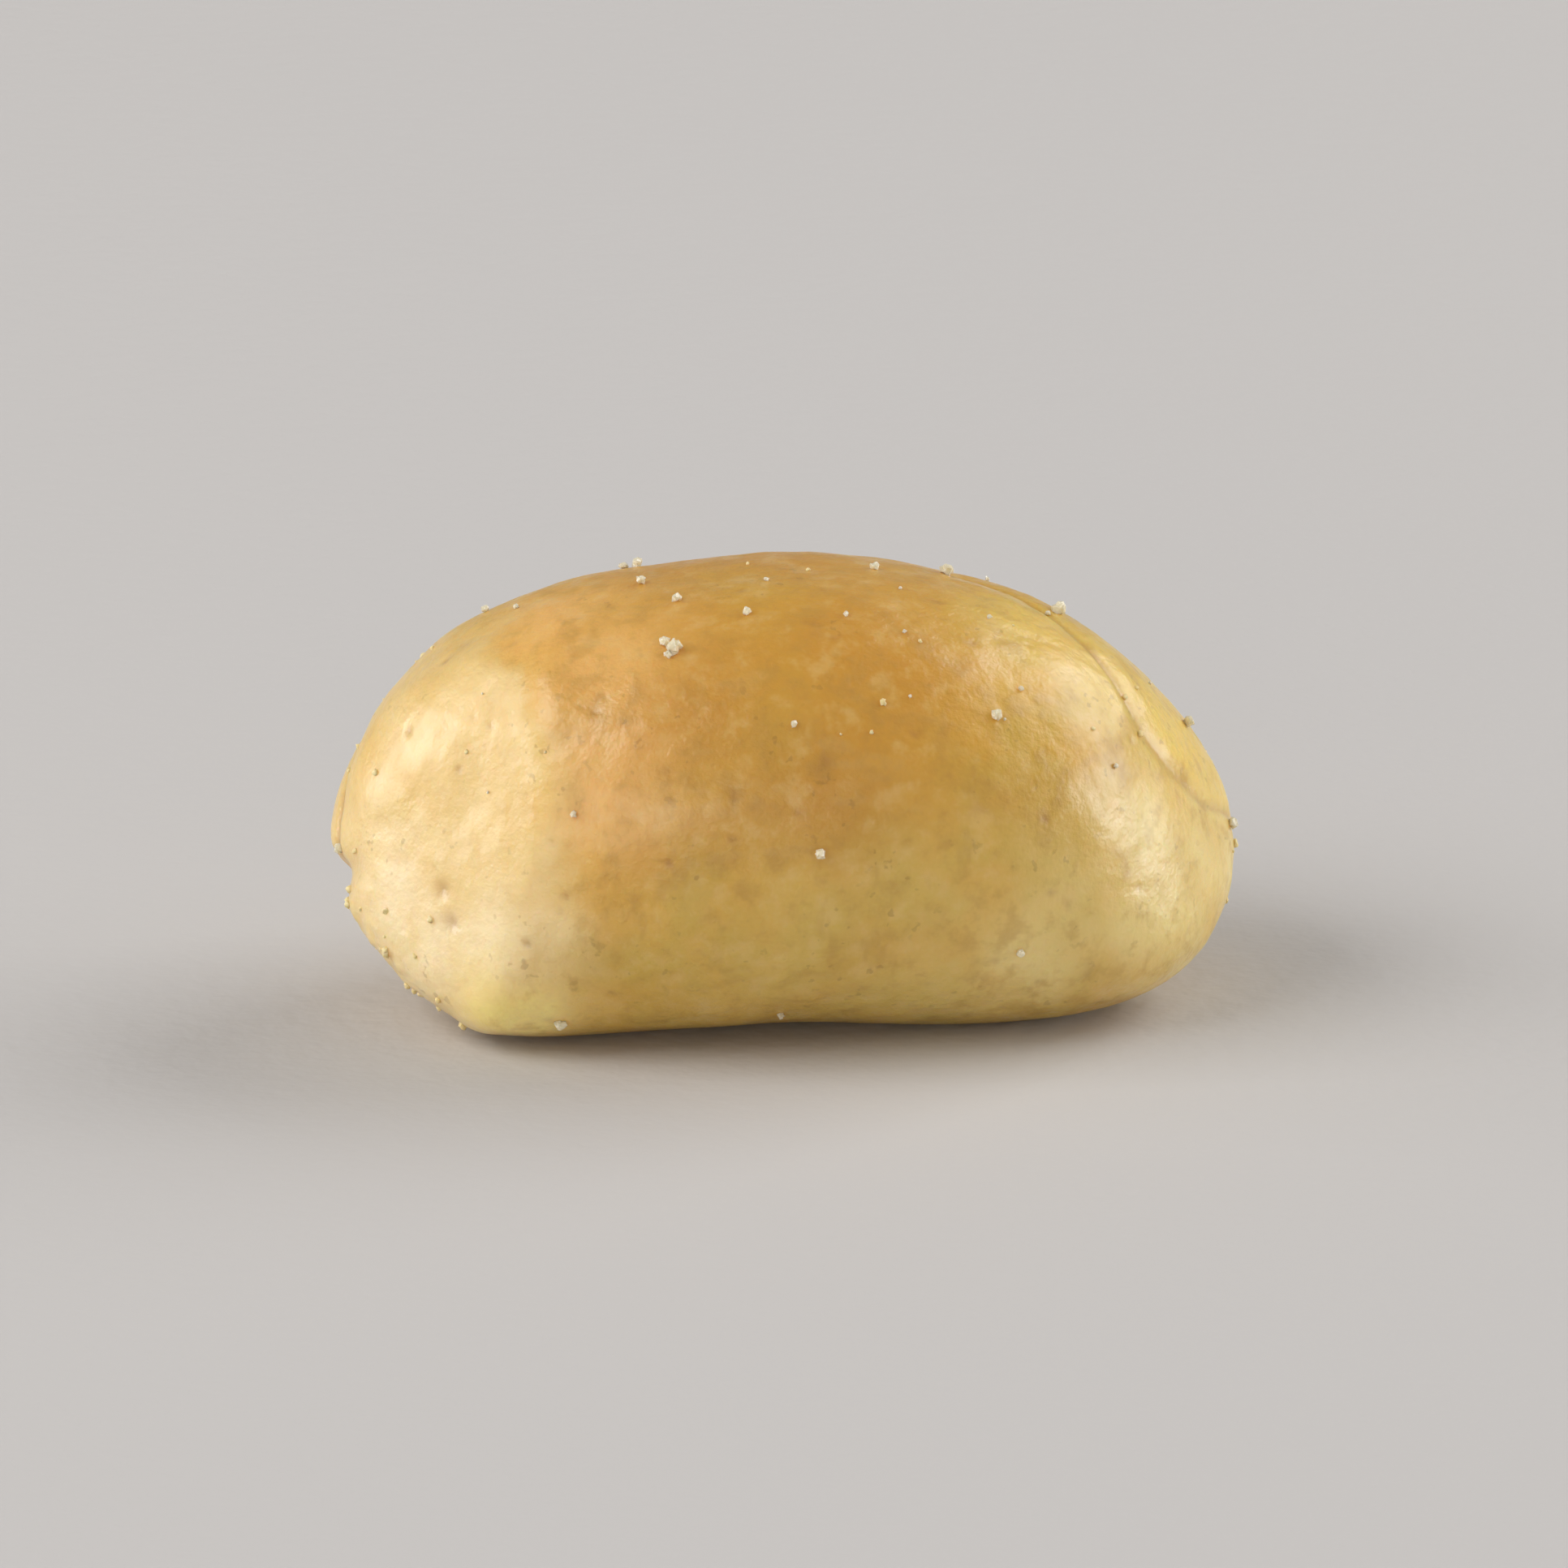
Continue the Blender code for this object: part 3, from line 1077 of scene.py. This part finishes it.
def crumb_material():
    """Matt and pale: a break has no film of oil, and each crumb has a shade of its own."""
    material, tree, surface = new_material("broken_seed_leaf", {
        "Roughness": 0.6,
        "IOR": OIL_IOR,
        "Subsurface Weight": 0.3,
        "Subsurface Radius": LEAF_GLOW,
        "Subsurface Scale": 0.3 * MM,
    })
    where = add_node(tree, "ShaderNodeTexCoord").outputs["Object"]
    texture = {"Vector": where, "Scale": 1 / CRUMB_PATCH, "Detail": 2.0}
    patches = add_node(tree, "ShaderNodeTexNoise", texture)
    mix = {MIX_FACTOR: patches.outputs["Fac"], MIX_A: linear(CRUMB_PALE), MIX_B: linear(CRUMB_TAN)}
    colour = add_node(tree, "ShaderNodeMix", mix, data_type="RGBA").outputs[MIX_RESULT]
    tree.links.new(colour, surface.inputs["Base Color"])
    roughen(tree, surface, CRACK, CRUMB_BREAK_HEIGHT)
    return material


nut_crumbs.data.materials.append(crumb_material())
print("material:", nut_crumbs.data.materials[0].name)

# %% [markdown]
# Table and light
#
# The nut lies on plain pale paper. In the photograph both ends are bright and the crown is not, so a wide
# soft light stands high on its left and another on its right. The end faces lean back so little that they
# mirror what stands near the table, so there are low windows too: one on each side, and a weak one in
# front. The crown mirrors the sky, which is therefore dimmer behind and overhead.

# %% Paper
PAPER = "cbc7c4"
PAPER_FIBRE = 0.4 * MM
PAPER_FIBRE_HEIGHT = 0.03 * MM
PAPER_RADIUS = 1500 * MM
PAPER_SIDES = 96


def paper_material():
    """Quite matt, with a faint tooth: uncoated fibres scatter the light evenly."""
    material, tree, surface = new_material("uncoated_paper", {
        "Base Color": linear(PAPER),
        "Roughness": 0.9,
        "Specular IOR Level": 0.2,
    })
    roughen(tree, surface, PAPER_FIBRE, PAPER_FIBRE_HEIGHT)
    return material


paper_bm = bmesh.new()
bmesh.ops.create_circle(paper_bm, cap_ends=True, segments=PAPER_SIDES, radius=PAPER_RADIUS)
paper = object_from(paper_bm, "paper")
paper_bm.free()
paper.data.materials.append(paper_material())
print("paper, mm across:", round(2 * PAPER_RADIUS / MM))

# %% Lights
LIGHT_DISTANCE = 500 * MM
LIGHTS = {  # azimuth and elevation in degrees, width, height, and watts
    "left_softbox": (-74, 42, 380 * MM, 280 * MM, 1.47),
    "left_window": (-102, 9, 200 * MM, 140 * MM, 0.62),
    "front_window": (-28, 7, 500 * MM, 130 * MM, 0.42),
    "right_softbox": (112, 35, 380 * MM, 280 * MM, 1.27),
    "right_window": (88, 7, 240 * MM, 180 * MM, 0.92),
}


def add_light(name, azimuth, elevation, width, height, watts):
    """A flat soft light that faces the nut. At azimuth 0 it stands in front, at 90 on the right."""
    data = bpy.data.lights.new(name, "AREA")
    data.shape = "RECTANGLE"
    data.size, data.size_y = width, height
    data.energy = watts
    light = bpy.data.objects.new(name, data)
    around, up = math.radians(azimuth), math.radians(elevation)
    stand = Vector((math.sin(around) * math.cos(up), -math.cos(around) * math.cos(up), math.sin(up)))
    light.location = nut_middle + stand * LIGHT_DISTANCE
    light.rotation_euler = stand.to_track_quat("Z", "Y").to_euler()
    bpy.context.scene.collection.objects.link(light)


for light_name, light_values in LIGHTS.items():
    add_light(light_name, *light_values)
print("lights:", ", ".join(LIGHTS))

# %% Sky
SKY_IN_FRONT = 0.42
SKY_BEHIND = 0.28
SKY_OVERHEAD = 0.6  # share of the strength at the horizon
SKY_WHITE = (1.0, 1.0, 1.0, 1.0)


def studio_sky():
    """A plain white sky that dims smoothly from the front (-Y) to the back, and from the horizon upwards."""
    world = bpy.data.worlds.new("studio")
    world.use_nodes = True
    tree = world.node_tree
    direction = add_node(tree, "ShaderNodeTexCoord").outputs["Generated"]
    parts = add_node(tree, "ShaderNodeSeparateXYZ", {"Vector": direction}).outputs
    dimmings = (  # axis of the direction, its value at the start, and the strengths at the start and end
        ("Y", -1.0, SKY_IN_FRONT, SKY_BEHIND),
        ("Z", 0.0, 1.0, SKY_OVERHEAD),
    )
    shares = {}
    for place, (axis, start, first, last) in enumerate(dimmings):
        limits = {"Value": parts[axis], "From Min": start, "From Max": 1.0, "To Min": first, "To Max": last}
        shares[place] = add_node(tree, "ShaderNodeMapRange", limits).outputs["Result"]
    strength = add_node(tree, "ShaderNodeMath", shares, operation="MULTIPLY").outputs[0]
    tree.links.new(strength, tree.nodes["Background"].inputs["Strength"])
    tree.nodes["Background"].inputs["Color"].default_value = SKY_WHITE
    return world


bpy.context.scene.world = studio_sky()
bpy.context.scene.view_settings.view_transform = "Standard"
print("sky, front and behind:", SKY_IN_FRONT, SKY_BEHIND)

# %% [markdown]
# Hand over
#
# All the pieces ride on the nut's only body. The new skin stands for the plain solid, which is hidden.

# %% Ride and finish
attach(roasted_kernel, "root")
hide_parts("kernel")
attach(salt_grains, "root")
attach(nut_crumbs, "root")
